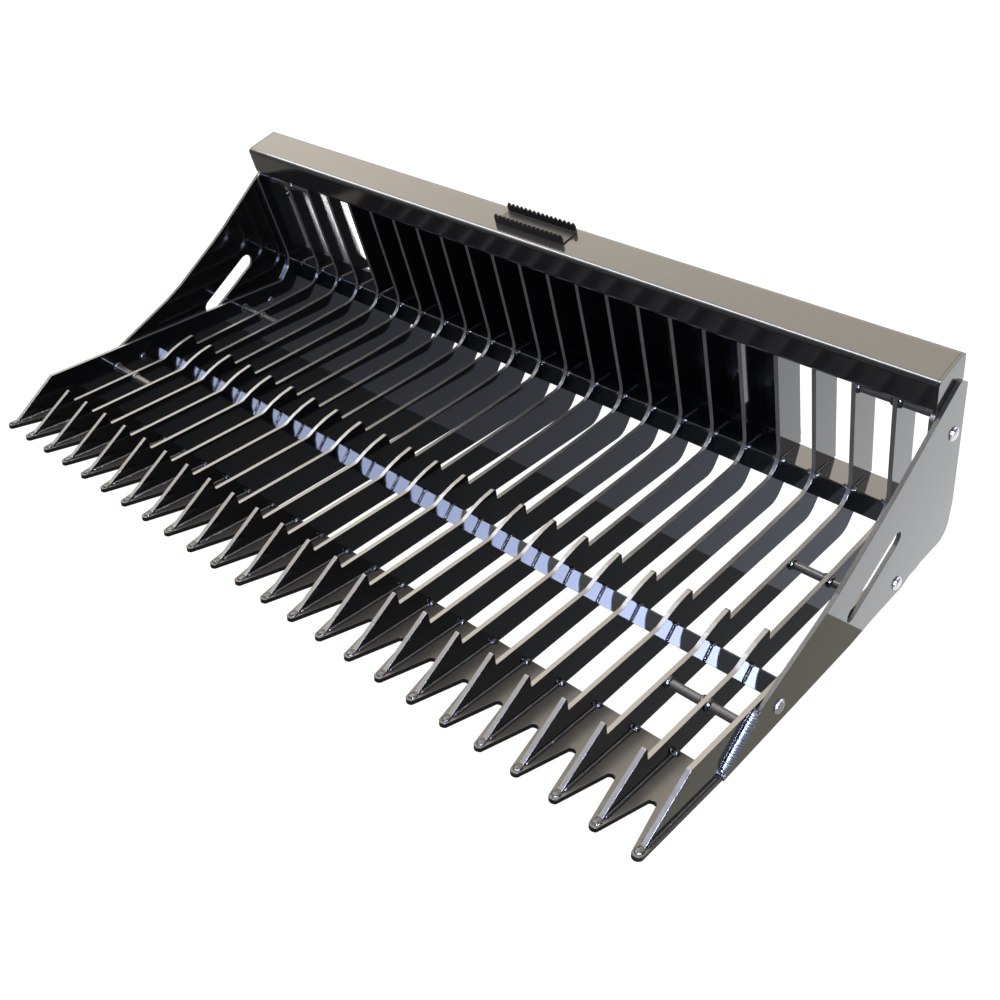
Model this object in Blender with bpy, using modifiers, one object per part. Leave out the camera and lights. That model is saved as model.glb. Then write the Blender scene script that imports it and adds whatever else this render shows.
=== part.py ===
"""Skeleton rock bucket for a skid-steer loader: a comb of flame-cut tines on a toothed cutting plate.

Frame: metres, +Z up, teeth towards -Y, origin on the ground under the middle of the bounding box.
Left and right are those of a person who stands in front of the teeth and looks at the bucket,
so left is -X and right is +X.

Side outlines are drawn in a plane whose first axis, y, runs back from the tooth tips and whose
second axis, z, runs up from the ground. MID_Y shifts them to the origin.
"""

from math import atan2, ceil, cos, pi, radians, sin, tan

import bmesh
import bpy
from mathutils import Matrix, Vector

# ---------------------------------------------------------------- driving dimensions
GAP = 0.0003                      # clearance between pieces that touch
TINE_COUNT = 24
TINE_PITCH = 0.085725             # 3 3/8 in: a 3 in opening and a 3/8 in tine
TINE_THICKNESS = 0.009525
TINE_WIDTH = 0.082                # front to back, on the upright stretch
TINE_LEVEL = 0.063                # height of a middle tine's top edge

LEAN = radians(14.0)              # the upright stretch and the top tube tip forward by this
LEAN_Y = 0.855                    # where the lean frame starts: the tube's front top edge
LEAN_Z = 0.485

PLATE_DEPTH = 0.234               # cutting plate, tip to rear edge
PLATE_THICKNESS = 0.010
PLATE_RISE = radians(3.66)        # the teeth point up by this
NOTCH_DEPTH = 0.113
TOOTH_TIP_RADIUS = 0.011
NOTCH_RADIUS = 0.010

BAR_RIDGE = (0.4662, 0.0405)       # middle angle: its ridge; both legs drop from it at 45 degrees
BAR_LEG = 0.0381
BAR_THICKNESS = 0.006

ANGLE_RIDGE = (0.970, 0.117)      # rear cross angle: its upper front corner
ANGLE_REAR = 1.050
ANGLE_DROP = 0.056
ANGLE_THICKNESS = 0.0085
ANGLE_SLOT_END = 1.020            # the slots in the angle and the notches in the tines meet here
ANGLE_LEG_SETBACK = 0.003         # the upright leg stands back under the top's front edge

TUBE_DEPTH = 0.1016               # 4 x 3 in rectangular tube
TUBE_HEIGHT = 0.0762
TUBE_WALL = 0.006
TUBE_RADIUS = 0.011
TUBE_BACK = 0.003                 # from the lean frame's origin to the tube's front face
CAP_THICKNESS = 0.006

SIDE_THICKNESS = 0.0085           # outer side plates
SIDE_SLOT = ((0.648, 0.0965), (0.787, 0.1815), 0.020)
PINS = {"front": (0.401, 0.049), "middle": (0.839, 0.044), "rear": (0.963, 0.334)}
PIN_RADIUS = 0.008
PIN_HEAD_RADIUS = 0.0155
PIN_HEAD_HEIGHT = 0.008

ROD_RADIUS = 0.0095
RODS = {"front": (0.323, 0.0505), "middle": (0.747, 0.056), "rear": (0.9185, 0.3905)}

STEP_TOOTH = 0.0127
STEP_TOOTH_COUNT = 16
STEP_FRONT = 0.036                # lean coordinates of its two flanges
STEP_REAR = 0.086
STEP_HEIGHT = 0.024
STEP_THICKNESS = 0.003
STEP_TOOTH_HEIGHT = 0.008

COUPLER_HALF_WIDTH = 0.610        # loader coupling plate behind the tines
COUPLER_THICKNESS = 0.010
COUPLER_TOP = 0.040
COUPLER_BOTTOM = 0.404
LATCH_X = 0.4286
LATCH_SIZE = (0.056, 0.030)
TOP_LIP_LENGTH = 0.045
TOP_LIP_OVERHANG = 0.004          # level stretch behind the plate, before the lip turns down
BOTTOM_LIP_LENGTH = 0.070
BOTTOM_LIP_THICKNESS = 0.012
GUSSET_THICKNESS = 0.0095

ARC_STEP = radians(15)            # the coarsest turn between two points of an arc

# ---------------------------------------------------------------- derived places
TINE_BACK = 0.107                 # lean coordinate of the tines' rear edge
TINE_FRONT = TINE_BACK - TINE_WIDTH
END_TINE_FRONT = -0.006           # the end tines have deeper uprights
TUBE_TOP = -0.0025
TUBE_UNDER = TUBE_TOP + TUBE_HEIGHT
END_TINE_X = (TINE_COUNT - 1) / 2 * TINE_PITCH
PLATE_HALF_WIDTH = END_TINE_X + TOOTH_TIP_RADIUS
END_TINE_INNER = END_TINE_X - TINE_THICKNESS / 2
END_TINE_OUTER = END_TINE_X + TINE_THICKNESS / 2
SIDE_INNER = END_TINE_OUTER + GAP
SIDE_OUTER = SIDE_INNER + SIDE_THICKNESS
COUPLER_FRONT = TINE_BACK + GAP
COUPLER_REAR = COUPLER_FRONT + COUPLER_THICKNESS
BOTTOM_LIP_FRONT = COUPLER_FRONT + 0.0025   # clears the tines' heels


def lean(back, down):
    """Side-outline point that lies `back` and `down` in the frame of the leaning upright."""
    return (LEAN_Y + back * cos(LEAN) + down * sin(LEAN),
            LEAN_Z + back * sin(LEAN) - down * cos(LEAN))


def plate_top(y):
    """Height of the cutting plate's upper face."""
    return (PLATE_DEPTH - y) * tan(PLATE_RISE) + PLATE_THICKNESS / cos(PLATE_RISE)


BOTTOM_LIP_DIRECTION = (cos(radians(30)), sin(radians(30)))
REARMOST = lean(BOTTOM_LIP_FRONT + BOTTOM_LIP_LENGTH * BOTTOM_LIP_DIRECTION[0],
                COUPLER_BOTTOM + GAP + BOTTOM_LIP_LENGTH * BOTTOM_LIP_DIRECTION[1])[0]
MID_Y = REARMOST / 2

# ---------------------------------------------------------------- scene, collections, materials
for stale in list(bpy.data.objects):
    bpy.data.objects.remove(stale)

part = bpy.data.collections.new("skeleton_rock_bucket")
cutters = bpy.data.collections.new("cutters")
bpy.context.scene.collection.children.link(part)
bpy.context.scene.collection.children.link(cutters)


def paint(name, colour, roughness, metallic):
    """A painted or bare steel finish."""
    material = bpy.data.materials.new(name)
    material.use_nodes = True
    shader = material.node_tree.nodes["Principled BSDF"]
    shader.inputs["Base Color"].default_value = (*colour, 1.0)
    shader.inputs["Roughness"].default_value = roughness
    shader.inputs["Metallic"].default_value = metallic
    material.diffuse_color = (*colour, 1.0)
    return material


TINE_PAINT = paint("tine_gloss_black", (0.020, 0.021, 0.022), 0.18, 0.0)
EDGE_PAINT = paint("cutting_plate_gloss_black", (0.024, 0.023, 0.021), 0.22, 0.0)
TUBE_PAINT = paint("tube_gloss_black", (0.022, 0.022, 0.022), 0.15, 0.0)
SIDE_PAINT = paint("side_plate_gloss_black", (0.021, 0.021, 0.020), 0.16, 0.0)
CROSS_PAINT = paint("cross_member_gloss_black", (0.019, 0.020, 0.023), 0.14, 0.0)
COUPLER_PAINT = paint("coupler_gloss_black", (0.018, 0.018, 0.019), 0.25, 0.0)
STEP_PAINT = paint("step_gloss_black", (0.017, 0.017, 0.018), 0.20, 0.0)
PIN_PAINT = paint("pin_gloss_black", (0.030, 0.030, 0.032), 0.12, 0.0)


# ---------------------------------------------------------------- outline helpers
def rounded(corners):
    """Closed outline through (u, v, radius) corners, each rounded by an arc of its radius."""
    points = []
    for index, (u, v, radius) in enumerate(corners):
        corner = Vector((u, v))
        before = Vector(corners[index - 1][:2]) - corner
        after = Vector(corners[(index + 1) % len(corners)][:2]) - corner
        before.normalize()
        after.normalize()
        turn = pi - before.angle(after)
        if radius == 0 or turn < radians(1):
            points.append(corner)
            continue
        reach = radius * tan(turn / 2)
        centre = corner + (before + after).normalized() * radius / cos(turn / 2)
        start = corner + before * reach - centre
        swing = start.angle_signed(corner + after * reach - centre)
        steps = max(1, ceil(abs(swing) / ARC_STEP))
        for step in range(steps + 1):
            angle = -swing * step / steps
            points.append(centre + Matrix.Rotation(angle, 2) @ start)
    return points


def circle(u, v, radius, count=20):
    """Closed circular outline."""
    return [Vector((u + radius * cos(2 * pi * k / count), v + radius * sin(2 * pi * k / count)))
            for k in range(count)]


def oval(start, end, radius):
    """Slot outline: two half circles around `start` and `end`."""
    heading = atan2(end[1] - start[1], end[0] - start[0])
    points = []
    for (u, v), first in ((end, heading - pi / 2), (start, heading + pi / 2)):
        for k in range(9):
            angle = first + pi * k / 8
            points.append(Vector((u + radius * cos(angle), v + radius * sin(angle))))
    return points


def flat_mesh(name, outlines, thickness):
    """Mesh of a plate: 2D curves, filled and extruded; the later outlines are holes."""
    curve = bpy.data.curves.new(name, "CURVE")
    curve.dimensions = "2D"
    curve.fill_mode = "BOTH"
    curve.extrude = thickness / 2
    for outline in outlines:
        spline = curve.splines.new("POLY")
        spline.points.add(len(outline) - 1)
        for point, place in zip(spline.points, outline):
            point.co = (place[0], place[1], 0.0, 1.0)
        spline.use_cyclic_u = True
    guide = bpy.data.objects.new(name + "_outline", curve)
    cutters.objects.link(guide)
    bpy.context.view_layer.update()
    mesh = bpy.data.meshes.new_from_object(guide.evaluated_get(bpy.context.evaluated_depsgraph_get()))
    mesh.name = name
    bpy.data.objects.remove(guide)
    work = bmesh.new()
    work.from_mesh(mesh)
    bmesh.ops.remove_doubles(work, verts=work.verts, dist=0.00001)
    bmesh.ops.recalc_face_normals(work, faces=work.faces)
    work.to_mesh(mesh)
    work.free()
    mesh.materials.clear()
    return mesh


def side_outline(points):
    """Moves a side outline from tooth-tip coordinates to the part's frame."""
    return [Vector((point[0] - MID_Y, point[1])) for point in points]


def add_node(name, mesh, material, location=(0, 0, 0), rotation=(0, 0, 0)):
    """Links one named sub-part."""
    node = bpy.data.objects.new(name, mesh)
    node.location = location
    node.rotation_euler = rotation
    if not mesh.materials:
        mesh.materials.append(material)
    part.objects.link(node)
    return node


SIDEWAYS = (pi / 2, 0, pi / 2)    # turns an outline's (u, v) to (Y, Z) and its thickness to X


def add_side_piece(name, mesh, material, x):
    """Links a piece whose outline is a side view and whose middle plane is at x."""
    return add_node(name, mesh, material, (x, 0, 0), SIDEWAYS)


def profile_mesh(name, outlines, length):
    """Mesh of a straight bar with a side-view section, along X."""
    return flat_mesh(name, [side_outline(outline) for outline in outlines], length)


def shade(mesh, degrees=35):
    """Smooth shading with sharp edges kept."""
    mesh.shade_smooth()
    mesh.set_sharp_from_angle(angle=radians(degrees))


def add_cutter(name, build):
    """Links a hidden cutter whose mesh `build` fills."""
    mesh = bpy.data.meshes.new(name)
    work = bmesh.new()
    build(work)
    work.to_mesh(mesh)
    work.free()
    cutter = bpy.data.objects.new(name, mesh)
    cutter.hide_render = True
    cutter.display_type = "WIRE"
    cutters.objects.link(cutter)
    return cutter


def boolean(node, other, operation):
    """Adds an exact Boolean."""
    modifier = node.modifiers.new(operation.lower(), "BOOLEAN")
    modifier.operation = operation
    modifier.solver = "EXACT"
    modifier.object = other


# ---------------------------------------------------------------- tines
def foot_corners():
    """Corners that every tine shares: heel, sole and the edge that lies on the cutting plate."""
    heel = lean(TINE_BACK, 0.407)
    return [(*lean(TINE_BACK, TUBE_UNDER + GAP), 0.002),
            (*heel, 0.003),
            (0.976, 0.0, 0.043),
            (PLATE_DEPTH + 0.0012, 0.0, 0.0),
            (PLATE_DEPTH + 0.0012, plate_top(PLATE_DEPTH) + GAP, 0.0),
            (0.020, plate_top(0.020) + GAP, 0.0)]


def angle_notch():
    """Corners of the notch in a tine's heel that takes the rear angle's strip."""
    ridge_z = ANGLE_RIDGE[1]
    upper, lower = ridge_z + GAP, ridge_z - ANGLE_THICKNESS - GAP
    return upper, lower


def tine_corners():
    """Outline of a middle tine, from the toe over the top edge and round the foot."""
    shared = foot_corners()
    upper, lower = angle_notch()
    heel_y, heel_z = shared[1][0], shared[1][1]
    sole_y = shared[2][0]
    lower_y = sole_y + (heel_y - sole_y) * lower / heel_z
    upper_y = heel_y - (upper - heel_z) * tan(LEAN)
    slot_end = ANGLE_SLOT_END - GAP
    notch = [(upper_y, upper, 0.0), (slot_end, upper, 0.0), (slot_end, lower, 0.0), (lower_y, lower, 0.0)]
    return ([(0.141, 0.096, 0.003),
             (0.1445, TINE_LEVEL, 0.003),
             (0.416, TINE_LEVEL, 0.030),
             (0.462, TINE_LEVEL + 0.0205, 0.120),
             (0.519, TINE_LEVEL + 0.0300, 0.007),
             (0.5215, TINE_LEVEL, 0.003),
             (0.775, TINE_LEVEL + 0.0085, 0.0),
             (*lean(TINE_FRONT, 0.4185), 0.050),
             (*lean(TINE_FRONT, TUBE_UNDER + GAP), 0.010)]
            + shared[:1] + notch + shared[2:])


def end_tine_corners():
    """Outline of the first and the last tine: a plain, higher top edge and a deeper upright."""
    return [(0.142, 0.105, 0.003),
            (0.600, 0.0935, 0.300),
            (0.892, 0.0852, 0.012),
            (*lean(END_TINE_FRONT, 0.3600), 0.060),
            (*lean(END_TINE_FRONT, TUBE_UNDER + GAP), 0.010)] + foot_corners()


def bar_point(forward, rearward):
    """Point of the middle angle's section, by its distances from the ridge down the two legs."""
    drop = 0.5 ** 0.5
    return Vector((BAR_RIDGE[0] + (rearward - forward) * drop, BAR_RIDGE[1] - (rearward + forward) * drop))


def bar_slot():
    """Roof-shaped hole in a middle tine for the middle angle."""
    reach, inside = BAR_LEG + GAP, BAR_THICKNESS + GAP
    return [bar_point(-GAP, -GAP), bar_point(-GAP, reach), bar_point(inside, reach), bar_point(inside, inside),
            bar_point(reach, inside), bar_point(reach, -GAP)]


def leg_slot():
    """Hole in a middle tine for the rear angle's upright leg."""
    front = ANGLE_RIDGE[0] + ANGLE_LEG_SETBACK - GAP
    back = front + ANGLE_THICKNESS + 2 * GAP
    top = ANGLE_RIDGE[1] - ANGLE_THICKNESS
    under = ANGLE_RIDGE[1] - ANGLE_DROP - GAP
    return [Vector((front, top)), Vector((back, top)), Vector((back, under)), Vector((front, under))]


def build_tines():
    """Twenty-four tines from three flame-cut shapes."""
    middle = rounded(tine_corners())
    rod_holes = [circle(*centre, ROD_RADIUS + GAP) for centre in RODS.values()]
    pin_holes = [circle(*centre, PIN_RADIUS + GAP) for centre in PINS.values()]
    plain = profile_mesh("tine_plain", [middle, bar_slot(), leg_slot()], TINE_THICKNESS)
    bored = profile_mesh("tine_bored", [middle, bar_slot(), leg_slot()] + rod_holes, TINE_THICKNESS)
    end = profile_mesh("tine_end", [rounded(end_tine_corners())] + pin_holes, TINE_THICKNESS)
    shapes = {1: end, 2: bored, TINE_COUNT - 1: bored, TINE_COUNT: end}
    for number in range(1, TINE_COUNT + 1):
        x = (number - 1) * TINE_PITCH - END_TINE_X
        add_side_piece(f"tine_{number:02d}", shapes.get(number, plain), TINE_PAINT, x)


# ---------------------------------------------------------------- cutting plate
def tooth_arc(centre, radius, first, last):
    """Points of an arc at a tip or a notch."""
    steps = 6
    return [Vector((centre[0] + radius * sin(first + (last - first) * k / steps),
                    centre[1] - radius * cos(first + (last - first) * k / steps)))
            for k in range(steps + 1)]


def plate_outline():
    """Teeth with round tips and round notches, one under each tine; the end teeth are half teeth."""
    length = PLATE_DEPTH / cos(PLATE_RISE)
    tip_v = -length + TOOTH_TIP_RADIUS
    notch_v = -length + NOTCH_DEPTH - NOTCH_RADIUS
    run, rise = TINE_PITCH / 2, notch_v - tip_v
    flank = pi / 2 - atan2(rise, run) + atan2(TOOTH_TIP_RADIUS + NOTCH_RADIUS,
                                              (run ** 2 + rise ** 2 - (TOOTH_TIP_RADIUS + NOTCH_RADIUS) ** 2) ** 0.5)
    reach = pi / 2 - flank
    points = [Vector((-PLATE_HALF_WIDTH, 0.0))]
    for tooth in range(TINE_COUNT):
        x = tooth * TINE_PITCH - END_TINE_X
        first = -pi / 2 if tooth == 0 else -reach
        last = pi / 2 if tooth == TINE_COUNT - 1 else reach
        points += tooth_arc((x, tip_v), TOOTH_TIP_RADIUS, first, last)
        if tooth < TINE_COUNT - 1:
            centre = (x + TINE_PITCH / 2, notch_v)
            points += tooth_arc(centre, NOTCH_RADIUS, pi + reach, pi - reach)
    points.append(Vector((PLATE_HALF_WIDTH, 0.0)))
    return points


def build_cutting_plate():
    """The toothed plate: its rear lower edge lies on the ground and the teeth rise."""
    mesh = flat_mesh("cutting_plate", [plate_outline()], PLATE_THICKNESS)
    half = PLATE_THICKNESS / 2
    location = (0.0, PLATE_DEPTH - MID_Y + half * sin(PLATE_RISE), half * cos(PLATE_RISE))
    add_node("cutting_plate", mesh, EDGE_PAINT, location, (-PLATE_RISE, 0.0, 0.0))


# ---------------------------------------------------------------- cross members
def build_mid_angle():
    """Angle of two flats, ridge up, through all middle tines from one end tine to the other."""
    width = 2 * (END_TINE_INNER - GAP)
    front = [bar_point(0.0, 0.0), bar_point(0.0, BAR_THICKNESS), bar_point(BAR_LEG, BAR_THICKNESS),
             bar_point(BAR_LEG, 0.0)]
    rear = [bar_point(0.0, BAR_THICKNESS + GAP), bar_point(0.0, BAR_LEG), bar_point(BAR_THICKNESS, BAR_LEG),
            bar_point(BAR_THICKNESS, BAR_THICKNESS + GAP)]
    for name, section in (("mid_angle_front", front), ("mid_angle_rear", rear)):
        add_side_piece(name, profile_mesh(name, [section], width), CROSS_PAINT, 0.0)


def build_rear_angle():
    """Angle of two flats: the tines drop through the slotted top, and the leg runs through the tines."""
    y, z = ANGLE_RIDGE
    under = z - ANGLE_THICKNESS
    width = 2 * (END_TINE_INNER - GAP)
    section = rounded([(y, z, 0.003), (ANGLE_REAR, z, 0.0), (ANGLE_REAR, under, 0.0), (y, under, 0.0)])
    top = add_side_piece("rear_angle_top", profile_mesh("rear_angle_top", [section], width), CROSS_PAINT, 0.0)

    def slots(work):
        front, back = y - 0.020, ANGLE_SLOT_END + GAP
        low, high = under - 0.020, z + 0.020
        for number in range(2, TINE_COUNT):
            x = (number - 1) * TINE_PITCH - END_TINE_X
            place = Matrix.Translation((x, (front + back) / 2 - MID_Y, (low + high) / 2))
            size = Matrix.Diagonal((TINE_THICKNESS + 2 * GAP, back - front, high - low, 1.0))
            bmesh.ops.create_cube(work, size=1.0, matrix=place @ size)

    boolean(top, add_cutter("angle_slots", slots), "DIFFERENCE")
    front = y + ANGLE_LEG_SETBACK
    leg = [(front, under - GAP), (front + ANGLE_THICKNESS, under - GAP),
           (front + ANGLE_THICKNESS, z - ANGLE_DROP), (front, z - ANGLE_DROP)]
    add_side_piece("rear_angle_leg", profile_mesh("rear_angle_leg", [leg], width), CROSS_PAINT, 0.0)


def tube_section(inset):
    """Tube outline in the lean frame, moved inwards by `inset`."""
    radius = max(TUBE_RADIUS - inset, 0.003)
    front, rear = TUBE_BACK + inset, TUBE_BACK + TUBE_DEPTH - inset
    top, under = TUBE_TOP + inset, TUBE_UNDER - inset
    corners = [(front, top), (rear, top), (rear, under), (front, under)]
    return rounded([(*lean(back, down), radius) for back, down in corners])


def build_top_tube():
    """Rectangular tube along the top, closed by a welded cap at each end."""
    half = END_TINE_OUTER - CAP_THICKNESS - GAP
    mesh = profile_mesh("top_tube", [tube_section(0.0), tube_section(TUBE_WALL)], 2 * half)
    shade(mesh)
    add_side_piece("top_tube", mesh, TUBE_PAINT, 0.0)
    cap = profile_mesh("tube_cap", [tube_section(0.0)], CAP_THICKNESS)
    for side, name in ((-1, "tube_cap_left"), (1, "tube_cap_right")):
        add_side_piece(name, cap, TUBE_PAINT, side * (END_TINE_OUTER - CAP_THICKNESS / 2))


# ---------------------------------------------------------------- outer side plates, pins and rods
def side_plate_corners():
    """Outline of the outer plate: a rising upper edge, a leaning rear edge and a stepped sole."""
    return [(PLATE_DEPTH + 0.0012, 0.006, 0.0),
            (0.336, 0.0905, 0.008),
            (0.545, 0.178, 0.350),
            (0.720, 0.290, 0.600),
            (0.940, 0.458, 0.006),
            (*lean(TINE_BACK - 0.0005, 0.070), 0.006),
            (*lean(TINE_BACK - 0.0005, 0.400), 0.060),
            (1.062, 0.029, 0.034),
            (0.912, 0.026, 0.030),
            (0.873, 0.010, 0.030),
            (0.766, 0.008, 0.100),
            (0.667, 0.0, 0.0),
            (PLATE_DEPTH + 0.0012, 0.0, 0.0)]


def build_side_plates():
    """One plate outside each end tine, pinned through it."""
    holes = [circle(*centre, PIN_RADIUS + GAP) for centre in PINS.values()]
    outlines = [rounded(side_plate_corners()), oval(*SIDE_SLOT)] + holes
    mesh = profile_mesh("side_plate", outlines, SIDE_THICKNESS)
    for side, name in ((-1, "side_plate_left"), (1, "side_plate_right")):
        add_side_piece(name, mesh, SIDE_PAINT, side * (SIDE_INNER + SIDE_OUTER) / 2)


def pin_mesh():
    """Domed pin, turned about Z: the head sits on z = 0 and the shank goes down."""
    length = SIDE_OUTER + GAP - END_TINE_INNER
    dome = 4
    profile = [(0.0, PIN_HEAD_HEIGHT)]
    for k in range(1, dome + 1):
        angle = pi / 2 * k / dome
        profile.append((PIN_HEAD_RADIUS * sin(angle), PIN_HEAD_HEIGHT * cos(angle)))
    profile += [(PIN_RADIUS, 0.0), (PIN_RADIUS, -length + 0.001),
                (PIN_RADIUS - 0.001, -length), (0.0, -length)]
    mesh = bpy.data.meshes.new("pin_profile")
    vertices = [(radius, 0.0, height) for radius, height in profile]
    edges = [(k, k + 1) for k in range(len(vertices) - 1)]
    mesh.from_pydata(vertices, edges, [])
    return mesh


def build_pins():
    """Three domed pins on each side; their tails are flush with the end tine's inner face."""
    mesh = pin_mesh()
    for side, end in ((-1, "left"), (1, "right")):
        for place, (y, z) in PINS.items():
            location = (side * (SIDE_OUTER + GAP), y - MID_Y, z)
            pin = add_node(f"side_pin_{place}_{end}", mesh, PIN_PAINT, location, (0, side * pi / 2, 0))
            screw = pin.modifiers.new("turn", "SCREW")
            screw.steps = 16
            screw.render_steps = 16
            screw.use_merge_vertices = True
            screw.merge_threshold = 0.00001
            screw.use_smooth_shade = True


def build_rods():
    """Three short rods on each side tie the end tine to the next two."""
    inner = (TINE_COUNT - 5) / 2 * TINE_PITCH + TINE_THICKNESS / 2 + GAP
    outer = END_TINE_INNER - GAP
    mesh = bpy.data.meshes.new("tie_rod")
    work = bmesh.new()
    bmesh.ops.create_cone(work, cap_ends=True, segments=20, radius1=ROD_RADIUS, radius2=ROD_RADIUS,
                          depth=outer - inner)
    work.to_mesh(mesh)
    work.free()
    shade(mesh)
    for side, end in ((-1, "left"), (1, "right")):
        for place, (y, z) in RODS.items():
            location = (side * (inner + outer) / 2, y - MID_Y, z)
            add_node(f"tie_rod_{place}_{end}", mesh, CROSS_PAINT, location, (0, pi / 2, 0))


# ---------------------------------------------------------------- step
def serration_outline():
    """Outline of what is cut from above the step's teeth; u runs along X and v up from the tube."""
    half = STEP_TOOTH * STEP_TOOTH_COUNT / 2
    clear = 0.010
    points = [Vector((half + clear, STEP_HEIGHT + clear)), Vector((-half - clear, STEP_HEIGHT + clear)),
              Vector((-half - clear, STEP_HEIGHT - STEP_TOOTH_HEIGHT))]
    for tooth in range(STEP_TOOTH_COUNT):
        left = tooth * STEP_TOOTH - half
        points += [Vector((left, STEP_HEIGHT - STEP_TOOTH_HEIGHT)),
                   Vector((left + 0.35 * STEP_TOOTH, STEP_HEIGHT)),
                   Vector((left + 0.65 * STEP_TOOTH, STEP_HEIGHT))]
    points += [Vector((half, STEP_HEIGHT - STEP_TOOTH_HEIGHT)),
               Vector((half + clear, STEP_HEIGHT - STEP_TOOTH_HEIGHT))]
    return points


def build_step():
    """Serrated channel on the tube, as a foothold: a web and two toothed flanges in one piece."""
    half = STEP_TOOTH * STEP_TOOTH_COUNT / 2
    seat = TUBE_TOP - GAP
    rim = seat - STEP_HEIGHT - 0.002
    web = seat - STEP_THICKNESS
    section = [(STEP_FRONT, seat), (STEP_REAR, seat), (STEP_REAR, rim),
               (STEP_REAR - STEP_THICKNESS, rim), (STEP_REAR - STEP_THICKNESS, web),
               (STEP_FRONT + STEP_THICKNESS, web), (STEP_FRONT + STEP_THICKNESS, rim), (STEP_FRONT, rim)]
    channel = profile_mesh("step", [[lean(back, down) for back, down in section]], 2 * half)
    step = add_side_piece("step", channel, STEP_PAINT, 0.0)
    depth = STEP_REAR - STEP_FRONT + 0.020
    cutter = bpy.data.objects.new("step_teeth", flat_mesh("step_teeth", [serration_outline()], depth))
    y, z = lean((STEP_FRONT + STEP_REAR) / 2, seat)
    cutter.location = (0.0, y - MID_Y, z)
    cutter.rotation_euler = (pi / 2 + LEAN, 0.0, 0.0)
    cutter.hide_render = True
    cutter.display_type = "WIRE"
    cutters.objects.link(cutter)
    boolean(step, cutter, "DIFFERENCE")


# ---------------------------------------------------------------- loader coupling
def top_lip_corners():
    """Lean-frame corners of the upper lip, which covers the plate's upper edge and turns down 45 degrees."""
    slope = radians(45)
    under = COUPLER_TOP - GAP
    bend = COUPLER_REAR + TOP_LIP_OVERHANG
    tip = (bend + TOP_LIP_LENGTH * cos(slope), under + TOP_LIP_LENGTH * sin(slope))
    outer_tip = (tip[0] + COUPLER_THICKNESS * sin(slope), tip[1] - COUPLER_THICKNESS * cos(slope))
    outer_bend = (bend + COUPLER_THICKNESS * tan(slope / 2), under - COUPLER_THICKNESS)
    return [(COUPLER_FRONT, under), (bend, under), tip, outer_tip, outer_bend,
            (COUPLER_FRONT, under - COUPLER_THICKNESS)]


def build_coupler():
    """Plate behind the tines with a hooked upper lip and a latched lower lip for the loader."""
    plate = [lean(COUPLER_FRONT, COUPLER_TOP), lean(COUPLER_REAR, COUPLER_TOP),
             lean(COUPLER_REAR, COUPLER_BOTTOM), lean(COUPLER_FRONT, COUPLER_BOTTOM)]
    mesh = profile_mesh("coupler_plate", [plate], 2 * COUPLER_HALF_WIDTH)
    add_side_piece("coupler_plate", mesh, COUPLER_PAINT, 0.0)
    lip = [lean(*corner) for corner in top_lip_corners()]
    mesh = profile_mesh("coupler_top_lip", [lip], 2 * COUPLER_HALF_WIDTH)
    add_side_piece("coupler_top_lip", mesh, COUPLER_PAINT, 0.0)
    build_bottom_lip()
    build_gussets()


def build_bottom_lip():
    """Lower lip, tipped down to the rear, with a rectangular hole for each latch pin."""
    half_hole = LATCH_SIZE[0] / 2
    length = BOTTOM_LIP_LENGTH
    outline = [Vector((-COUPLER_HALF_WIDTH, 0.0)), Vector((COUPLER_HALF_WIDTH, 0.0)),
               Vector((COUPLER_HALF_WIDTH, length)), Vector((-COUPLER_HALF_WIDTH, length))]
    holes = []
    near, far = 0.018, 0.018 + LATCH_SIZE[1]
    for x in (-LATCH_X, LATCH_X):
        holes.append([Vector((x - half_hole, near)), Vector((x + half_hole, near)),
                      Vector((x + half_hole, far)), Vector((x - half_hole, far))])
    mesh = flat_mesh("coupler_bottom_lip", [outline] + holes, BOTTOM_LIP_THICKNESS)
    slope = radians(30) - LEAN
    middle = (BOTTOM_LIP_FRONT - BOTTOM_LIP_DIRECTION[1] * BOTTOM_LIP_THICKNESS / 2,
              COUPLER_BOTTOM + GAP + BOTTOM_LIP_DIRECTION[0] * BOTTOM_LIP_THICKNESS / 2)
    y, z = lean(*middle)
    add_node("coupler_bottom_lip", mesh, COUPLER_PAINT, (0.0, y - MID_Y, z), (-slope, 0.0, 0.0))


def build_gussets():
    """Webs that close the ends of both lips; they stand outside them, clear of the loader's plate."""
    upper = top_lip_corners()
    tip = upper[2]
    top = upper[3:5] + [upper[5], (COUPLER_FRONT, tip[1] + 0.045), (COUPLER_REAR, tip[1] + 0.045), tip]
    along_back, along_down = BOTTOM_LIP_DIRECTION
    reach = 0.052
    root_down = COUPLER_BOTTOM + GAP
    face = (BOTTOM_LIP_FRONT + reach * along_back, root_down + reach * along_down)
    back_face = (face[0] - BOTTOM_LIP_THICKNESS * along_down, face[1] + BOTTOM_LIP_THICKNESS * along_back)
    bottom = [(COUPLER_FRONT, COUPLER_BOTTOM - 0.050), (COUPLER_REAR, COUPLER_BOTTOM - 0.050), face,
              back_face, (COUPLER_FRONT, root_down + BOTTOM_LIP_THICKNESS / along_back)]
    x = COUPLER_HALF_WIDTH + GAP + GUSSET_THICKNESS / 2
    for level, corners in (("top", top), ("bottom", bottom)):
        outline = [lean(*corner) for corner in corners]
        mesh = profile_mesh(f"gusset_{level}", [outline], GUSSET_THICKNESS)
        add_side_piece(f"coupler_gusset_{level}_left", mesh, COUPLER_PAINT, -x)
        add_side_piece(f"coupler_gusset_{level}_right", mesh, COUPLER_PAINT, x)


build_tines()
build_cutting_plate()
build_mid_angle()
build_rear_angle()
build_top_tube()
build_side_plates()
build_pins()
build_rods()
build_step()
build_coupler()
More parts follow.
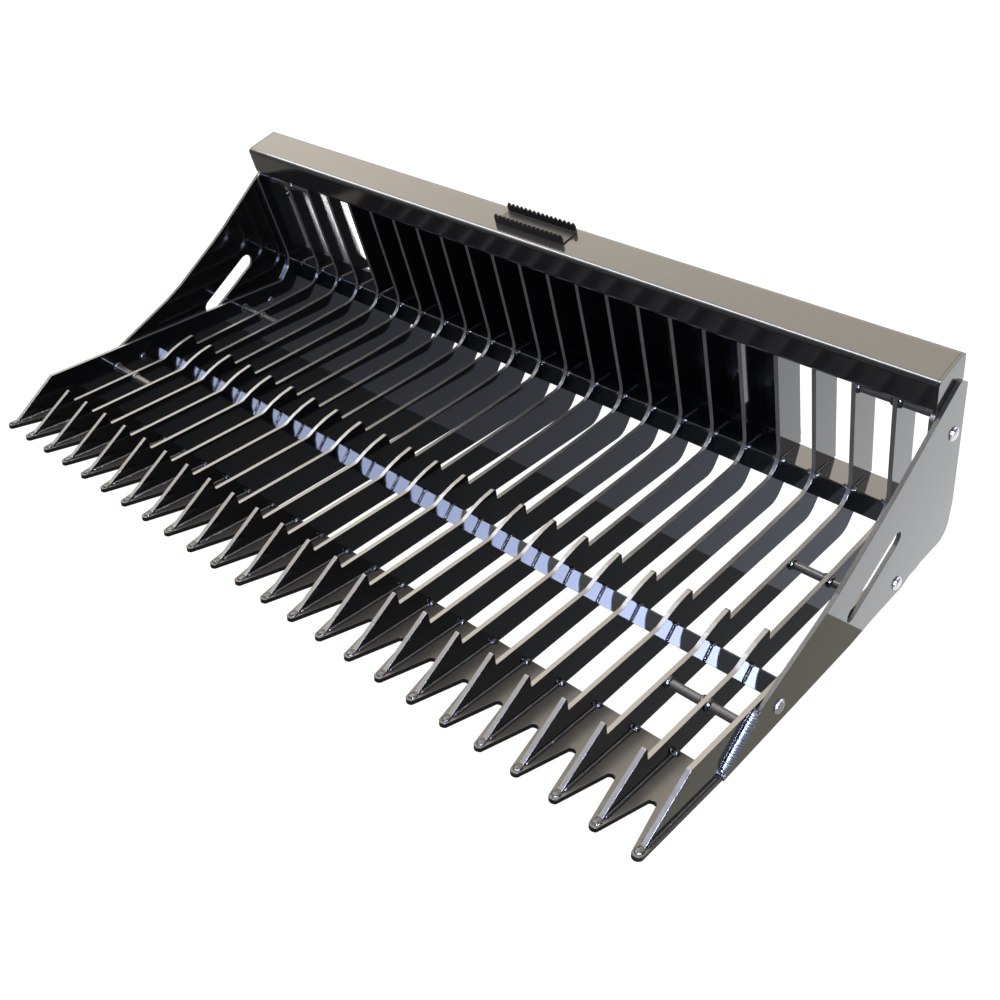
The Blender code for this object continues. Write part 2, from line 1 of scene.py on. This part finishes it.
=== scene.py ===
"""Looks of the skeleton rock bucket: paint, weld beads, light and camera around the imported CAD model.

Everything is in metres in the CAD frame: X to the right, -Y towards the teeth, Z up.
"""

import random
from math import cos, pi, radians, sin, sqrt

import bmesh
import bpy
from mathutils import Matrix, Vector


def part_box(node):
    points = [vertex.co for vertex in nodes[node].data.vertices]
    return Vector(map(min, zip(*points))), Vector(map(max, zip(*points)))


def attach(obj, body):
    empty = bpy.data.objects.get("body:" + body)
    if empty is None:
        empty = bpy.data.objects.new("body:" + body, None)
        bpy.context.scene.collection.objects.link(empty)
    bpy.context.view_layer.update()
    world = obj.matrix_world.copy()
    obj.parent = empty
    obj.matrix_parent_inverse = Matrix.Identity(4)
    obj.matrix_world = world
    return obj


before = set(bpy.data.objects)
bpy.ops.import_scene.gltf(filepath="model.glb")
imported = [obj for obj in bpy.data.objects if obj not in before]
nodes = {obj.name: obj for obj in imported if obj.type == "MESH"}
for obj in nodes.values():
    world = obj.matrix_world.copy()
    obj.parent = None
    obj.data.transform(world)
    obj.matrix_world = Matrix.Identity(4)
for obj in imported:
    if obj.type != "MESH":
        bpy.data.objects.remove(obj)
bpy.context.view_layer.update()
scene = bpy.context.scene
ROOT = "root"


def box_of(name):
    """Lowest and highest corner of a CAD node."""
    low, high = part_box(name)
    return Vector(low), Vector(high)


# ---------------------------------------------------------------- camera
CAMERA_AT = Vector((1.61525, -1.48209, 1.54926))
CAMERA_RIGHT = Vector((0.738009, 0.673812, -0.036336))
CAMERA_DOWN = Vector((0.380591, -0.460108, -0.802154))
CAMERA_FORWARD = Vector((-0.557219, 0.578168, -0.596010))
FOCAL_WIDTHS = 1.139806           # focal length in widths of the picture

camera_data = bpy.data.cameras.new("camera")
camera_data.type = "PERSP"
camera_data.sensor_fit = "HORIZONTAL"
camera_data.sensor_width = 36.0
camera_data.lens = 36.0 * FOCAL_WIDTHS
camera_data.clip_start = 0.05
camera_data.clip_end = 60.0
camera = bpy.data.objects.new("camera", camera_data)
turn = Matrix((CAMERA_RIGHT, -CAMERA_DOWN, -CAMERA_FORWARD)).transposed().to_4x4()
camera.matrix_world = Matrix.Translation(CAMERA_AT) @ turn
scene.collection.objects.link(camera)
scene.camera = camera


# ---------------------------------------------------------------- node helpers
class Graph:
    """Short calls for building a shader tree."""

    def __init__(self, tree):
        self.tree = tree
        self.tree.nodes.clear()

    def feed(self, socket, value):
        """Gives a socket a value, or links another socket to it."""
        if isinstance(value, bpy.types.NodeSocket):
            self.tree.links.new(value, socket)
        else:
            socket.default_value = value

    def node(self, kind, inputs=None, **settings):
        """Adds a node; `inputs` maps a socket's name or number to a value or another socket."""
        made = self.tree.nodes.new(kind)
        for name, value in settings.items():
            setattr(made, name, value)
        for key, value in (inputs or {}).items():
            self.feed(made.inputs[key], value)
        return made

    def math(self, operation, first, second=0.0):
        """Arithmetic on two values."""
        return self.node("ShaderNodeMath", {0: first, 1: second}, operation=operation).outputs[0]

    def ramp(self, value, low, high):
        """Smooth step of `value` from 0 at `low` to 1 at `high`."""
        made = self.node("ShaderNodeMapRange", {"Value": value, "From Min": low, "From Max": high},
                         interpolation_type="SMOOTHSTEP")
        return made.outputs["Result"]

    def blend(self, factor, first, second):
        """Mix of two colours."""
        return self.node("ShaderNodeMix", {0: factor, 6: first, 7: second}, data_type="RGBA").outputs[2]

    def mix(self, factor, first, second):
        """Mix of two numbers."""
        return self.node("ShaderNodeMix", {0: factor, 2: first, 3: second}, data_type="FLOAT").outputs[0]

    def noise(self, scale, detail, roughness, vector):
        """Noise value."""
        made = self.node("ShaderNodeTexNoise", {"Scale": scale, "Detail": detail, "Roughness": roughness,
                                                "Vector": vector})
        return made.outputs["Fac"]


EDGE_ROUND = 0.0012               # radius that the paint shows at a sharp corner
PEEL_HEIGHT = 0.00002             # relief of the orange peel
CUT_HEIGHT = 0.00010              # relief of the lines on a flame-cut edge
# pale warm grey for upward faces: part dust, part a painted highlight of the bright overhead they mirror
TOP_SHEEN_AND_DUST = (0.30, 0.27, 0.23, 1.0)


def gloss_paint(name, face_colour, edge_colour, face_roughness=0.06, edge_roughness=0.30, edge_axis=None,
                edge_gloss=0.26, waviness=0.010, dust_and_sheen=0.0, metal=0.0, lumps=0.0):
    """Gloss paint over steel, or bright metal where `metal` is 1.

    Plate faces are smooth, with a faint orange peel. Flame-cut edges, which are the faces that do not look
    along `edge_axis`, are rougher and carry fine cut lines. A bevelled normal lights the sharp corners.
    `waviness` bends broad reflections, the dust amount lays dust and a painted highlight on upward faces, and
    `lumps` is the relief of a weld.
    """
    material = bpy.data.materials.new(name)
    material.use_nodes = True
    g = Graph(material.node_tree)
    geometry = g.node("ShaderNodeNewGeometry")
    place = g.node("ShaderNodeTexCoord").outputs["Object"]
    parts = g.node("ShaderNodeSeparateXYZ", {0: geometry.outputs["True Normal"]})
    if edge_axis is None:
        is_edge = g.node("ShaderNodeValue").outputs[0]
        is_edge.default_value = 0.0
    else:
        along = g.math("ABSOLUTE", parts.outputs[edge_axis])
        is_edge = g.math("SUBTRACT", 1.0, g.ramp(along, 0.80, 0.95))
    broad = g.noise(3.0, 3.0, 0.55, place)
    fine = g.noise(60.0, 4.0, 0.6, place)
    specks = g.ramp(g.noise(420.0, 2.0, 0.6, place), 0.60, 0.75)
    colour = g.blend(is_edge, (*face_colour, 1.0), (*edge_colour, 1.0))
    tone = g.node("ShaderNodeHueSaturation", {"Color": colour,
                                               "Value": g.mix(fine, 0.82, 1.18)}).outputs["Color"]
    # upward faces lightened towards that grey: dust together with a painted highlight
    sheen_and_dust_mask = g.math("MULTIPLY", g.ramp(parts.outputs["Z"], 0.3, 1.0), dust_and_sheen)
    sheen_and_dust_mask = g.math("MULTIPLY", sheen_and_dust_mask, g.mix(broad, 0.5, 1.2))
    tone = g.blend(sheen_and_dust_mask, tone, TOP_SHEEN_AND_DUST)
    rough_face = g.mix(broad, face_roughness * 0.7, face_roughness * 1.5)
    rough_edge = g.mix(fine, edge_roughness * 0.75, edge_roughness * 1.25)
    roughness = g.math("ADD", g.mix(is_edge, rough_face, rough_edge), g.math("MULTIPLY", specks, 0.10))
    stretched = g.node("ShaderNodeMapping", {"Vector": place, "Scale": (40.0, 700.0, 700.0)})
    cut_lines = g.noise(1.0, 2.0, 0.5, stretched.outputs["Vector"])
    peel = g.noise(220.0, 1.0, 0.4, place)
    wave = g.noise(7.0, 1.0, 0.4, place)
    height = g.math("ADD", g.math("MULTIPLY", peel, PEEL_HEIGHT), g.math("MULTIPLY", wave, waviness * 0.01))
    height = g.mix(is_edge, height, g.math("MULTIPLY", cut_lines, CUT_HEIGHT))
    height = g.math("ADD", height, g.math("MULTIPLY", g.noise(330.0, 2.0, 0.6, place), lumps))
    rounded = g.node("ShaderNodeBevel", {"Radius": EDGE_ROUND}, samples=6).outputs["Normal"]
    normal = g.node("ShaderNodeBump", {"Strength": 1.0, "Distance": 1.0, "Height": height,
                                       "Normal": rounded}).outputs["Normal"]
    shader = g.node("ShaderNodeBsdfPrincipled", {"Base Color": tone, "Roughness": roughness, "IOR": 1.5,
                                                 "Specular IOR Level": g.mix(is_edge, 0.5, edge_gloss),
                                                 "Metallic": metal, "Normal": normal})
    g.node("ShaderNodeOutputMaterial", {"Surface": shader.outputs[0]})
    return material


BLACK = (0.0065, 0.0070, 0.0085)
tine_paint = gloss_paint("tine_gloss_black", BLACK, (0.075, 0.066, 0.054), edge_axis="X", edge_gloss=1.2,
                         edge_roughness=0.34)
edge_paint = gloss_paint("cutting_plate_gloss_black", (0.045, 0.040, 0.034), (0.010, 0.010, 0.010),
                         face_roughness=0.27, edge_axis="Z", edge_roughness=0.18, waviness=0.02)
# the tube's upward faces carry dust and a painted highlight
tube_paint = gloss_paint("tube_gloss_black", (0.012, 0.012, 0.013), (0.012, 0.012, 0.013),
                         face_roughness=0.10, waviness=0.02, dust_and_sheen=0.12)
side_paint = gloss_paint("side_plate_gloss_black", (0.008, 0.008, 0.008), (0.060, 0.056, 0.048),
                         face_roughness=0.05, edge_axis="X", edge_roughness=0.30)
cross_paint = gloss_paint("cross_member_gloss_black", (0.010, 0.011, 0.014), (0.010, 0.011, 0.014),
                          face_roughness=0.06, waviness=0.03)
coupler_paint = gloss_paint("coupler_gloss_black", BLACK, BLACK, face_roughness=0.12)
step_paint = gloss_paint("step_gloss_black", (0.009, 0.009, 0.010), (0.040, 0.038, 0.034),
                         face_roughness=0.14, edge_axis="Y")
rod_paint = gloss_paint("rod_gloss_black", (0.055, 0.050, 0.043), (0.055, 0.050, 0.043), face_roughness=0.26)
pin_paint = gloss_paint("pin_bright", (0.46, 0.46, 0.49), (0.46, 0.46, 0.49), face_roughness=0.22, metal=1.0)
weld_paint = gloss_paint("weld_gloss_black", (0.030, 0.029, 0.028), (0.030, 0.029, 0.028),
                         face_roughness=0.12, waviness=0.0, lumps=0.0012)
# the side plate welds are gloss black paint too; this pale bluish metal paints in the highlights their
# ripples mirror
painted_highlight_weld = gloss_paint("weld_painted_highlight_gloss", (0.20, 0.21, 0.24), (0.20, 0.21, 0.24), face_roughness=0.26,
                          waviness=0.0, metal=1.0)

PAINTS = (("tine_", tine_paint), ("cutting_plate", edge_paint), ("mid_angle", cross_paint),
          ("rear_angle", cross_paint), ("top_tube", tube_paint), ("tube_cap", tube_paint),
          ("side_plate", side_paint), ("side_pin", pin_paint), ("tie_rod", rod_paint),
          ("step", step_paint), ("coupler", coupler_paint))
for name, node in nodes.items():
    for prefix, material in PAINTS:
        if name.startswith(prefix):
            for slot in node.material_slots:
                slot.material = material
            break


# ---------------------------------------------------------------- weld beads
rng = random.Random(7)


def link_piece(name, mesh, material):
    """Links a visual piece, painted and riding on the bucket."""
    piece = bpy.data.objects.new(name, mesh)
    scene.collection.objects.link(piece)
    mesh.materials.append(material)
    mesh.shade_smooth()
    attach(piece, ROOT)
    return piece


def join_rings(work, rings):
    """Adds the faces between each ring of vertices and the next."""
    for first, second in zip(rings, rings[1:]):
        count = len(first)
        for k in range(count):
            work.faces.new((first[k], first[(k + 1) % count], second[(k + 1) % count], second[k]))


def bead(work, start, end, side_a, side_b, leg, ripple, swell=0.16):
    """Adds a fillet weld to `work`, from `start` to `end` in the corner of two faces.

    `side_a` and `side_b` point along the two faces, away from the corner. The crown is a little convex and
    its height ripples like a row of overlapping puddles.
    """
    start, end = Vector(start), Vector(end)
    side_a, side_b = Vector(side_a).normalized(), Vector(side_b).normalized()
    length = (end - start).length
    along = (end - start) / length
    steps = max(6, int(length / ripple * 5))
    arc = 7
    rings = []
    phase = rng.random()
    for i in range(steps + 1):
        s = length * i / steps
        puddle = (s / ripple + phase + 0.12 * sin(s * 410.0)) % 1.0
        size = leg * (1.0 - swell + swell * sqrt(max(0.0, 1.0 - (2.0 * puddle - 1.0) ** 2)) * 1.3)
        taper = min(1.0, (s + 0.0008) / leg, (length - s + 0.0008) / leg)
        size *= sqrt(max(taper, 0.02))
        lean_back = -0.35 * ripple
        ring = []
        for k in range(arc):
            angle = (pi / 2) * k / (arc - 1)
            crown = 0.80 + 0.10 * sin(2 * angle)
            reach = size * crown * (1.0 / max(cos(angle) + sin(angle), 1e-6)) * (1.0 + 0.16 * sin(2 * angle))
            bulge = lean_back * sin(2 * angle)
            point = start + along * (s + bulge) + (side_a * cos(angle) + side_b * sin(angle)) * reach
            ring.append(work.verts.new(point))
        ring.append(work.verts.new(start + along * s - (side_a + side_b) * 0.0001))
        rings.append(ring)
    join_rings(work, rings)
    work.faces.new(rings[0])
    work.faces.new(list(reversed(rings[-1])))


def blob(work, centre, normal, radius, height, stretch=1.0, along=None):
    """Adds a domed lump of weld on a face."""
    normal = Vector(normal).normalized()
    side = Vector(along).normalized() if along is not None else normal.orthogonal().normalized()
    other = normal.cross(side)
    rows, count = 5, 14
    wobble = [1.0 + 0.10 * sin(3 * pi * 2 * k / count + rng.random() * 2) for k in range(count)]
    rings = []
    for row in range(rows):
        angle = (pi / 2) * row / rows
        ring = []
        for k in range(count):
            turn_by = 2 * pi * k / count
            reach = radius * cos(angle) * wobble[k]
            point = (Vector(centre) + side * reach * cos(turn_by) * stretch + other * reach * sin(turn_by)
                     + normal * (height * sin(angle) - 0.0001))
            ring.append(work.verts.new(point))
        rings.append(ring)
    top = work.verts.new(Vector(centre) + normal * height)
    join_rings(work, rings)
    for k in range(count):
        work.faces.new((rings[-1][k], rings[-1][(k + 1) % count], top))
    work.faces.new(list(reversed(rings[0])))


def collar(work, centre, axis, inner, outer, length, lumps=5):
    """Adds a lumpy ring of weld round a rod where it meets a plate; it tapers away from the plate."""
    axis = Vector(axis).normalized()
    side = axis.orthogonal().normalized()
    other = axis.cross(side)
    count, rows = 28, 7
    phase = rng.random() * 6.0
    rings = []
    for row in range(rows):
        t = row / (rows - 1)
        ring = []
        for k in range(count):
            turn_by = 2 * pi * k / count
            lump = 1.0 + 0.10 * abs(sin(lumps * turn_by / 2 + phase))
            reach = inner + (outer - inner) * sqrt(max(0.0, 1.0 - t * t)) * lump
            point = (Vector(centre) + axis * length * t * (1.0 + 0.10 * sin(lumps * turn_by + phase))
                     + (side * cos(turn_by) + other * sin(turn_by)) * reach)
            ring.append(work.verts.new(point))
        rings.append(ring)
    join_rings(work, rings)
    work.faces.new(list(reversed(rings[0])))
    work.faces.new(rings[-1])


def finish_piece(name, work, material=None):
    """Turns a bmesh into a linked weld piece."""
    bmesh.ops.recalc_face_normals(work, faces=work.faces)
    mesh = bpy.data.meshes.new(name)
    work.to_mesh(mesh)
    work.free()
    return link_piece(name, mesh, material or weld_paint)


TINES = sorted(name for name in nodes if name.startswith("tine_"))
TINE_HALF = 0.009525 / 2
MIDDLES = {name: (box_of(name)[0].x + box_of(name)[1].x) / 2 for name in TINES}
TIP_Y = box_of("cutting_plate")[0].y
PLATE_DEPTH = 0.234
PLATE_RISE = radians(3.66)


def plate_top(y):
    """Height of the cutting plate's upper face, y measured from the tips."""
    return (PLATE_DEPTH - y) * sin(PLATE_RISE) / cos(PLATE_RISE) + 0.010 / cos(PLATE_RISE)


def at(x, y, z):
    """Point of the CAD frame from a distance behind the tooth tips."""
    return Vector((x, y + TIP_Y, z))


def outermost(number, side):
    """Whether this side of a tine faces away from all the others."""
    return (number, side) in ((1, -1), (len(TINES), 1))


# tines on the cutting plate: a bead on each side, a lump on the tip and one at the plate's rear edge
PLATE_UP = Vector((0, sin(PLATE_RISE), cos(PLATE_RISE)))
PLATE_WELD_START, PLATE_WELD_END = 0.030, 0.226
TIP_LUMP, REAR_LUMP = 0.0165, 0.225
for number, name in enumerate(TINES, start=1):
    x = MIDDLES[name]
    work = bmesh.new()
    for side in (-1, 1):
        face = x + side * TINE_HALF
        end, leg = (0.228, 0.0060) if outermost(number, side) else (PLATE_WELD_END, 0.0062)
        bead(work, at(face, PLATE_WELD_START, plate_top(PLATE_WELD_START)), at(face, end, plate_top(end)),
             (side, 0, 0), PLATE_UP, leg, ripple=0.0050)
    blob(work, at(x, TIP_LUMP, plate_top(TIP_LUMP)), PLATE_UP, 0.0085, 0.0042, stretch=1.3, along=(0, 1, 0))
    if number < len(TINES):
        blob(work, at(x + TINE_HALF + 0.004, REAR_LUMP, plate_top(REAR_LUMP)), PLATE_UP, 0.0075, 0.0095)
    finish_piece(f"tine_weld_{number:02d}", work)

# joints of the middle angle: a short bead up its front leg on both sides of each tine
BAR_RIDGE = (0.4662, 0.0405)
BAR_TOE = (0.4393, 0.0136)
DROP = sqrt(0.5)
for number, name in enumerate(TINES, start=1):
    if number in (1, len(TINES)):
        continue
    x = MIDDLES[name]
    work = bmesh.new()
    for side in (-1, 1):
        face = x + side * TINE_HALF
        bead(work, at(face, *BAR_TOE), at(face, *BAR_RIDGE), (side, 0, 0), (0, -DROP, DROP), 0.0050,
             ripple=0.0042, swell=0.34)
        blob(work, at(face + side * 0.003, BAR_RIDGE[0] + 0.002, BAR_RIDGE[1] - 0.002), (0, 0.2, 1), 0.0052,
             0.0040)
    finish_piece(f"mid_weld_{number:02d}", work)

# joints of the rear angle: a bead along its front edge beside each tine and one back along the tine
RIDGE = (0.970, 0.117)
for number, name in enumerate(TINES, start=1):
    x = MIDDLES[name]
    work = bmesh.new()
    for side in (-1, 1):
        if outermost(number, side):
            continue
        face = x + side * TINE_HALF
        bead(work, at(face, RIDGE[0] + 0.002, RIDGE[1]), at(face, RIDGE[0] + 0.060, RIDGE[1]), (side, 0, 0),
             (0, 0, 1), 0.0050, ripple=0.0045, swell=0.30)
        bead(work, at(face, RIDGE[0], RIDGE[1] - 0.012), at(face, RIDGE[0], RIDGE[1] - 0.001), (side, 0, 0),
             (0, -1, 0), 0.0055, ripple=0.0045, swell=0.30)
        blob(work, at(face + side * 0.003, RIDGE[0] + 0.002, RIDGE[1] - 0.001), (0, -0.5, 1), 0.0070, 0.0052,
             stretch=1.4, along=(1, 0, 0))
    finish_piece(f"rear_weld_{number:02d}", work)

# rods: a ring of weld at every tine face; pins: a dome over each inner end
for name in sorted(nodes):
    if not name.startswith("tie_rod_"):
        continue
    low, high = box_of(name)
    centre = (low + high) / 2
    radius = (high.z - low.z) / 2
    work = bmesh.new()
    for tine in TINES:
        middle = MIDDLES[tine]
        for side in (-1, 1):
            face = middle + side * TINE_HALF
            if low.x - 0.002 < face + side * 0.004 < high.x + 0.002:
                collar(work, (face, centre.y, centre.z), (side, 0, 0), radius * 0.98, radius + 0.0040, 0.0075)
    finish_piece(name.replace("tie_rod", "rod_weld"), work)
for side, label, tine in ((-1, "left", TINES[0]), (1, "right", TINES[-1])):
    work = bmesh.new()
    inner = MIDDLES[tine] - side * TINE_HALF
    for place in ("front", "middle", "rear"):
        low, high = box_of(f"side_pin_{place}_{label}")
        blob(work, (inner, (low.y + high.y) / 2, (low.z + high.z) / 2), (-side, 0, 0), 0.0110, 0.0080)
    finish_piece(f"pin_welds_{label}", work)

# uprights: a bead along the tube's underside on each side, and a lump at its front
LEAN = radians(14.0)


def lean(back, down):
    """Point of the leaning back of the bucket: `back` behind its front line, `down` from its top."""
    return (0.855 + back * cos(LEAN) + down * sin(LEAN), 0.485 + back * sin(LEAN) - down * cos(LEAN))


for number, name in enumerate(TINES[1:-1], start=2):
    x = MIDDLES[name]
    work = bmesh.new()
    front = at(0, *lean(0.030, 0.0745))
    rear = at(0, *lean(0.098, 0.0745))
    down = Vector((0, sin(LEAN), -cos(LEAN)))
    for side in (-1, 1):
        face = Vector((x + side * TINE_HALF, 0, 0))
        bead(work, front + face, rear + face, (side, 0, 0), down, 0.0050, ripple=0.0045, swell=0.30)
        blob(work, front + face + Vector((side * 0.003, 0, 0)), (0, -1, 0.3), 0.0060, 0.0045)
    finish_piece(f"upright_weld_{number:02d}", work)

# side plates: a heavy bead up each slanted front edge, in pale bluish metal as a painted highlight of its
# ripples
for side, label in ((-1, "left"), (1, "right")):
    low, high = box_of(f"side_plate_{label}")
    face_x = low.x if side > 0 else high.x
    work = bmesh.new()
    first, last = at(face_x, 0.2385, 0.012), at(face_x, 0.3325, 0.0905)
    back = (last - first).normalized()
    outward = Vector((0, -back.z, back.y))
    bead(work, first, last, outward, (side, 0, 0), 0.0165, ripple=0.0056, swell=0.30)
    finish_piece(f"side_plate_weld_{label}", work, painted_highlight_weld)

# ---------------------------------------------------------------- floor and light
floor_mesh = bpy.data.meshes.new("floor")
work = bmesh.new()
bmesh.ops.create_grid(work, x_segments=2, y_segments=2, size=12.0)
work.to_mesh(floor_mesh)
work.free()
floor = bpy.data.objects.new("floor", floor_mesh)
floor.location = (0.0, 0.0, -0.004)
scene.collection.objects.link(floor)
floor_material = bpy.data.materials.new("floor_white")
floor_material.use_nodes = True
g = Graph(floor_material.node_tree)
shader = g.node("ShaderNodeBsdfPrincipled", {"Base Color": (0.12, 0.12, 0.12, 1.0), "Roughness": 0.9,
                                             "Specular IOR Level": 0.0,
                                             "Emission Color": (1.0, 1.0, 1.0, 1.0),
                                             "Emission Strength": 1.0})
g.node("ShaderNodeOutputMaterial", {"Surface": shader.outputs[0]})
floor_mesh.materials.append(floor_material)


def card(name, corners, colour, strength):
    """A studio card that only reflections see."""
    mesh = bpy.data.meshes.new(name)
    mesh.from_pydata([tuple(corner) for corner in corners], [], [tuple(range(len(corners)))])
    made = bpy.data.objects.new(name, mesh)
    scene.collection.objects.link(made)
    made.visible_camera = False
    made.visible_diffuse = False
    made.visible_shadow = False
    made.visible_transmission = False
    made.visible_volume_scatter = False
    material = bpy.data.materials.new(name)
    material.use_nodes = True
    tree = Graph(material.node_tree)
    glow = tree.node("ShaderNodeEmission", {"Color": (*colour, 1.0), "Strength": strength})
    tree.node("ShaderNodeOutputMaterial", {"Surface": glow.outputs[0]})
    mesh.materials.append(material)
    return made


def flat_card(name, low, high, level, colour, strength):
    """A level card between two corners."""
    return card(name, [(low[0], low[1], level), (high[0], low[1], level), (high[0], high[1], level),
                       (low[0], high[1], level)], colour, strength)


# The hall's floor, as the paint mirrors it: olive in front, pale grey behind a straight edge.
FLOOR_EDGE = 0.160
flat_card("floor_front", (-4.0, -4.0), (4.0, FLOOR_EDGE), -0.003, (1.0, 0.96, 0.80), 0.50)
flat_card("floor_rear", (-4.0, FLOOR_EDGE), (4.0, 4.0), -0.003, (0.96, 0.98, 1.0), 1.6)
flat_card("floor_shaded", (-1.02, -0.62), (0.985, FLOOR_EDGE), -0.002, (0.95, 0.98, 1.0), 0.16)
flat_card("floor_rear_shaded", (-1.02, FLOOR_EDGE), (0.985, 0.60), -0.002, (0.88, 0.94, 1.12), 0.52)


def mirrored_strip(name, face_x, corners, strength):
    """Card on the floor that an upright's right face mirrors to the camera between `corners` (y, z)."""
    spots = []
    for y, z in corners:
        point = Vector((face_x, y, z))
        ray = point - CAMERA_AT
        ray.x = -ray.x
        spots.append(point + ray * ((point.z + 0.001) / -ray.z))
    return card(name, spots, (1.0, 1.0, 1.0), strength)


# daylight that the second, third and fourth upright mirror as slits
SLITS = {"tine_02": ((0.0650, 0.165), (0.0705, 0.170), (0.0835, 0.372), (0.0780, 0.371)),
         "tine_03": ((0.0640, 0.121), (0.0697, 0.126), (0.0842, 0.368), (0.0782, 0.366)),
         "tine_04": ((0.0580, 0.112), (0.0870, 0.134), (0.0850, 0.368), (0.0690, 0.357))}
for name, corners in SLITS.items():
    places = [lean(*corner) for corner in corners]
    mirrored_strip(f"slit_{name}", MIDDLES[name] + TINE_HALF,
                   [(y + TIP_Y, z) for y, z in places], 40.0)

# the hall: white to the camera, and to reflections warm and bright overhead on the left, dim elsewhere
world = bpy.data.worlds.new("studio")
scene.world = world
world.use_nodes = True
g = Graph(world.node_tree)
direction = g.node("ShaderNodeTexCoord").outputs["Generated"]
part = g.node("ShaderNodeSeparateXYZ", {0: direction})
height = part.outputs["Z"]
lit_side = g.math("ADD", g.math("MULTIPLY", part.outputs["X"], -0.75),
                  g.math("MULTIPLY", part.outputs["Y"], 0.65))
lit_side = g.ramp(lit_side, -0.35, 0.45)
overhead = g.math("MULTIPLY", g.ramp(height, 0.12, 0.60), lit_side)
colour = g.blend(overhead, (0.80, 0.88, 1.0, 1.0), (1.0, 0.91, 0.78, 1.0))
strength = g.mix(overhead, 0.35, 4.4)
sky = g.node("ShaderNodeBackground", {"Color": colour, "Strength": strength})
plain = g.node("ShaderNodeBackground", {"Color": (1.0, 1.0, 1.0, 1.0), "Strength": 1.05})
seen = g.node("ShaderNodeLightPath").outputs["Is Camera Ray"]
both = g.node("ShaderNodeMixShader", {0: seen, 1: sky.outputs[0], 2: plain.outputs[0]})
g.node("ShaderNodeOutputWorld", {"Surface": both.outputs[0]})

# a bright window behind the camera, which the middle angle and the welds mirror, and a strip overhead
WINDOW_AT = Vector((1.95, -2.20, 1.80))
WINDOW_FACES = Vector((0.35, -0.11, 0.03))
HALF_WIDTH, HALF_HEIGHT = 0.75, 0.42
window_look = (WINDOW_FACES - WINDOW_AT).normalized()
window_right = window_look.cross(Vector((0, 0, 1))).normalized()
window_up = window_right.cross(window_look).normalized()
across, along = window_right * HALF_WIDTH, window_up * HALF_HEIGHT
card("window_behind_camera", [WINDOW_AT - across - along, WINDOW_AT + across - along,
                              WINDOW_AT + across + along, WINDOW_AT - across + along],
     (0.56, 0.65, 1.0), 215.0)
flat_card("overhead_strip", (-4.2, -0.50), (0.6, -0.15), 3.1, (0.86, 0.90, 1.0), 26.0)

scene.view_settings.view_transform = "Standard"
